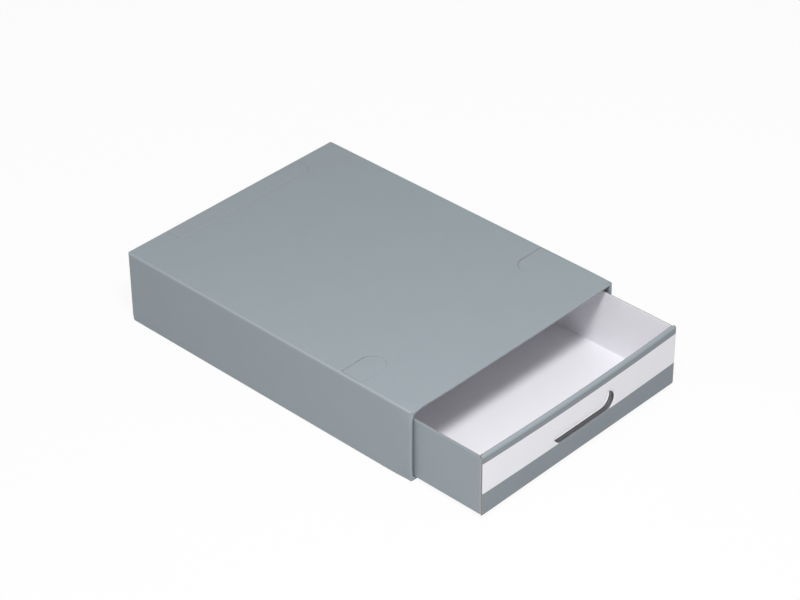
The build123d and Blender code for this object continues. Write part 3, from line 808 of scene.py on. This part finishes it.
def drawer_wall(node, side):
    """A side wall: out over its crease and up to its cut edge."""
    def place(p, y, w):
        x, z = along_fold(p, w, (-half_drawer + CREASE_RADIUS, drawer_base), 180, side_runs)
        return side * -x, y, z
    rows, columns = crossed(fold_stations(side_runs, FLUTE_STEP),
                            even(wall_box_low.y, wall_box_high.y, WALL_STEP))
    board_piece(node, "drawer", "grey_board", place, rows, columns, rows,
                crease=crease_stretch_and_highlight(rows, side_runs),
                crushed=WALL_CRUSH * crush(sum(fold_lengths(side_runs)) - rows))


drawer_wall("drawer_left_wall", -1)
drawer_wall("drawer_right_wall", 1)

# ------------------------------------------------------------------------------ the drawer's ends
# Both ends are double: the outer panel rises from the floor, rolls over the corner flaps and comes
# down inside as the lining.  The front has sprung outwards between its corners, away from its lining,
# and is printed grey with a white band; the handle slot goes through both layers.
GREY_FRONT_PAINTED_SHADE = "#7d868d"        # the front's grey is painted darker than the rest, as shade on that face
BAND_LOW = 26.6 * MILLIMETRE
BAND_HIGH = 57.7 * MILLIMETRE
BAND_BLUR = 0.12 * MILLIMETRE
FRONT_BOW = 2.4 * MILLIMETRE
MID_BOW = 1.6 * MILLIMETRE
MID_BOW_HEIGHT = 25.0 * MILLIMETRE
SLOT_LOW = drawer_base + 22.5 * MILLIMETRE
SLOT_HEIGHT = 9.1 * MILLIMETRE
SLOT_LEFT_X = -26.0 * MILLIMETRE
SLOT_LEFT_RADIUS = 11.0 * MILLIMETRE
SLOT_BEND_X = 22.0 * MILLIMETRE
SLOT_BEND_RADIUS = 10.0 * MILLIMETRE
SLOT_HOOK_X = 30.8 * MILLIMETRE
SLOT_HOOK_RADIUS = 10.3 * MILLIMETRE
SLOT_TURNS = 24               # stations round each of the slot's curves
END_LEVELS = 7                # stations up an end on either side of the slot
FLAP_STEP = 0.012             # between stations along a corner flap
PANEL_CRUSH = 0.4             # how crushed the raw ends are, beside the other cut edges
ROLL_CRUSH = 0.6
ROLL_STRETCH_AND_HIGHLIGHT = 0.3            # how stretched the print is on the roll, and how bright its painted highlight, beside a sharp crease

roll_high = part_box("drawer_rear_roll")[1]
end_thickness = 2 * LAYER + BOARD
roll_radius = end_thickness / 2
roll_start = roll_high.z - roll_radius
lining_half = half_drawer - CREASE_RADIUS
flap_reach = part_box("drawer_front_flap_right")[0].x
slot_high = SLOT_LOW + SLOT_HEIGHT
slot_left_z = SLOT_LOW + SLOT_LEFT_RADIUS
slot_left_x = SLOT_LEFT_X - math.sqrt(SLOT_LEFT_RADIUS ** 2 - (slot_left_z - slot_high) ** 2)
slot_bend_z = slot_high + SLOT_BEND_RADIUS
slot_end_x = SLOT_BEND_X + SLOT_BEND_RADIUS
slot_hook_z = SLOT_LOW + SLOT_HOOK_RADIUS
slot_right_x = SLOT_HOOK_X + SLOT_HOOK_RADIUS


def banded_colour(tree):
    """The front's print: grey, painted a shade darker as shade on the front, with the white paper left bare
    in a band between two heights.
    """
    place = add_node(tree, "ShaderNodeTexCoord").outputs["Object"]
    height = add_node(tree, "ShaderNodeSeparateXYZ", {0: place}).outputs["Z"]
    above = add_node(tree, "ShaderNodeMapRange",
                     {0: height, 1: BAND_LOW - BAND_BLUR, 2: BAND_LOW + BAND_BLUR})
    below = add_node(tree, "ShaderNodeMapRange",
                     {0: height, 1: BAND_HIGH + BAND_BLUR, 2: BAND_HIGH - BAND_BLUR})
    band = add_node(tree, "ShaderNodeMath", {0: above.outputs[0], 1: below.outputs[0]},
                    operation="MULTIPLY")
    return add_node(tree, "ShaderNodeMix",
                    {0: band.outputs[0], 6: print_colour(tree, GREY_FRONT_PAINTED_SHADE), 7: white_colour(tree)},
                    data_type="RGBA").outputs[2]


# The same varnished finish as the rest of the outside, its grey painted darker as shade on the front, with
# its white band left unprinted.
banded_liner = paper_finish("flexo_printed_band_liner", banded_colour, PRINT_ROUGHNESS, PAPER_BUMP)


def spring(x, z, bow_share):
    """How far an end has sprung outwards: a parabola across the box, nought at the corners, whose
    middle goes from nought at the foot through MID_BOW to FRONT_BOW at the roll."""
    bow = np.interp(z, (drawer_base + CREASE_RADIUS, drawer_base + MID_BOW_HEIGHT, roll_start),
                    (0, MID_BOW, FRONT_BOW))
    return bow_share * bow * (1 - (x / half_drawer) ** 2)


def arc_height(x, centre_x, radius):
    """Half the height of a circle at x."""
    return np.sqrt(np.clip(radius ** 2 - (x - centre_x) ** 2, 0, None))


def slot_edges(x):
    """The lower and upper edge of the handle slot at x.  The lower one is straight between two arcs,
    low + r - sqrt(r^2 - (x - c)^2); the upper one is straight, bends up through a quarter circle, and
    from there on is the upper half of the hook's own circle."""
    low = slot_left_z - arc_height(x, SLOT_LEFT_X, SLOT_LEFT_RADIUS)
    low = np.where(x > SLOT_LEFT_X, SLOT_LOW, low)
    low = np.where(x > SLOT_HOOK_X, slot_hook_z - arc_height(x, SLOT_HOOK_X, SLOT_HOOK_RADIUS), low)
    high = np.where(x > SLOT_BEND_X, slot_bend_z - arc_height(x, SLOT_BEND_X, SLOT_BEND_RADIUS), slot_high)
    high = np.where(x > slot_end_x, slot_hook_z + arc_height(x, SLOT_HOOK_X, SLOT_HOOK_RADIUS), high)
    closed = (x < slot_left_x) | (x > slot_right_x)
    middle = np.where(x < 0, slot_high, slot_hook_z)
    return np.where(closed, middle - CUT_EDGE, low), np.where(closed, middle + CUT_EDGE, high)


def end_rows(half, slotted):
    """Stations across an end, closer round the curves of the slot."""
    rows = even(-half, half, FLUTE_STEP)
    if not slotted:
        return rows
    turns = np.linspace(0, np.pi / 2, SLOT_TURNS)
    return np.unique(np.concatenate([
        rows, slot_left_x + (SLOT_LEFT_X - slot_left_x) * (1 - np.cos(turns)),
        SLOT_BEND_X + SLOT_BEND_RADIUS * np.sin(turns),
        SLOT_HOOK_X + SLOT_HOOK_RADIUS * np.sin(turns),
        (slot_end_x + CUT_EDGE, slot_right_x + CUT_EDGE, slot_left_x - CUT_EDGE)]))


def slot_distance(x, z):
    """How far a point of the end's face is from the nearest point of the slot's outline."""
    across = end_rows(half_drawer, True)
    across = across[(across >= slot_left_x) & (across <= slot_right_x)]
    low, high = slot_edges(across)
    rise = np.linspace(slot_bend_z, high[np.searchsorted(across, slot_end_x + CUT_EDGE)], 6)
    outline = np.concatenate([np.stack([across, low], 1), np.stack([across, high], 1),
                              np.stack([np.full(len(rise), slot_end_x), rise], 1)])
    near = np.full(x.shape, np.inf)
    for edge_x, edge_z in outline:
        near = np.minimum(near, np.hypot(x - edge_x, z - edge_z))
    return near


def end_point(front, x, depth, z):
    """A point of an end by its depth behind the end's face, sprung outwards at the front only."""
    y = drawer_front + depth - spring(x, z, 1) if front else drawer_back - depth
    return x, y, z


def drawer_end(label):
    """The three layers of one end: the outer panel, the roll over the top, and the lining."""
    front = label == "front"
    paper = banded_liner if front else printed_liner

    def levels(x, foot, head):
        """Heights at x: from the foot to the slot's lower edge, and from its upper edge to the head."""
        low, high = (edge[:, None] for edge in slot_edges(x))
        share = np.linspace(0, 1, END_LEVELS)
        below, above = low - EDGE_STATIONS[0], high + EDGE_STATIONS[0]
        return np.hstack([foot + (below - foot) * share, low - EDGE_STATIONS[1:],
                          high + EDGE_STATIONS[:0:-1], above + (head - above) * share])

    def open_cells(rows, gap_column):
        """Leaves out the slot: the cells between its two edges."""
        keep = np.ones((rows.shape[0] - 1, rows.shape[1] - 1), bool)
        x = middles(rows)[:, gap_column]
        keep[:, gap_column] = (x < slot_left_x) | (x > slot_right_x) if front else True
        return keep

    gap = END_LEVELS + len(EDGE_STATIONS) - 2
    crease_length = CREASE_RADIUS * math.pi / 2
    panel_foot = drawer_base + CREASE_RADIUS
    panel_runs = [(CREASE_RADIUS, 90), roll_start - panel_foot]
    x = end_rows(half_drawer, front)
    crease_columns = np.linspace(0, crease_length, BEND_STEPS + 1)[:-1]
    columns = np.hstack([np.repeat(crease_columns[None], len(x), 0),
                         crease_length - panel_foot + levels(x, panel_foot, roll_start)])
    rows = np.repeat(x[:, None], columns.shape[1], 1)

    crushed = PANEL_CRUSH * crush(half_drawer - np.abs(rows))
    if front:
        crushed = np.maximum(crushed, crush(slot_distance(rows, columns - crease_length + panel_foot)))

    def panel_place(x, p, w):
        depth, z = along_fold(p, w, (CREASE_RADIUS, drawer_base), 180, panel_runs)
        return end_point(front, x, depth, z)
    board_piece(f"drawer_{label}_panel", "drawer", "grey_board", panel_place, rows, columns, rows,
                keep=open_cells(rows, BEND_STEPS + gap), crease=crease_stretch_and_highlight(columns, panel_runs),
                crushed=crushed, outside=paper)

    roll_runs = [(roll_radius, 180)]
    rows, columns = crossed(even(-half_drawer, half_drawer, FLUTE_STEP),
                            np.linspace(0, np.pi * roll_radius, 2 * BEND_STEPS + 1))

    def roll_place(x, p, w):
        depth, z = along_fold(p, w, (0, roll_start), 90, roll_runs)
        return end_point(front, x, depth, z)
    inner = middles(columns) > math.pi * roll_radius * 0.5
    board_piece(f"drawer_{label}_roll", "drawer", "grey_board", roll_place, rows, columns, rows,
                keep=~(inner & (np.abs(middles(rows)) > lining_half)),
                crease=ROLL_STRETCH_AND_HIGHLIGHT * crease_stretch_and_highlight(columns, roll_runs),
                crushed=ROLL_CRUSH * crush(half_drawer - np.abs(rows)))

    x = end_rows(lining_half, front)
    heights = np.hstack([np.full((len(x), 1), drawer_base), levels(x, floor_top + HEM_CLEAR, roll_start)])
    rows = np.repeat(x[:, None], heights.shape[1], 1)
    keep = open_cells(rows, gap + 1)
    keep[:, 0] = np.abs(np.abs(middles(rows)[:, 0]) - TAB_OFFSET) < TAB_HALF

    def lining_place(x, z, w):
        """The front lining hangs straight while its panel bows: its face is end_thickness behind the
        panel's, plus spring (1 - (z / roll_start)^4), which is nought at the roll."""
        slack = spring(x, z, 1) * (1 - np.clip(z / roll_start, 0, 1) ** 4) if front else 0
        return end_point(front, x, end_thickness - w + slack, z)
    # The lining's face towards the panel is painted grey as shade in the gap between the layers.
    board_piece(f"drawer_{label}_lining", "drawer", "white_board", lining_place, rows, heights, rows,
                keep=keep, outside=white_liner, inside=shaded_back_liner)


def corner_flap(label, hand, side):
    """A corner flap: on from the side wall, round the upright crease and along between the layers."""
    front = label == "front"
    runs = [(CREASE_RADIUS, 90), half_drawer - CREASE_RADIUS - flap_reach]
    low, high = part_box(f"drawer_{label}_flap_{hand}")

    def place(z, p, w):
        x, depth = along_fold(p, w, (half_drawer, WALL_SETBACK), -90, runs)
        return end_point(front, side * x, depth, z)
    stations = np.unique(np.concatenate([fold_stations(runs, FLAP_STEP),
                                         np.linspace(0, CREASE_RADIUS * np.pi / 2, BEND_STEPS + 1)]))
    rows, columns = crossed(even(low.z, high.z, FLUTE_STEP), stations)
    board_piece(f"drawer_{label}_flap_{hand}", "drawer", "grey_board", place, rows, columns, rows,
                crease=crease_stretch_and_highlight(columns, runs))


for label in ("front", "rear"):
    drawer_end(label)
    for side, hand in ((-1, "left"), (1, "right")):
        corner_flap(label, hand, side)

# ------------------------------------------------------------------------------ the end
# The view layer is brought up to date.
bpy.context.view_layer.update()
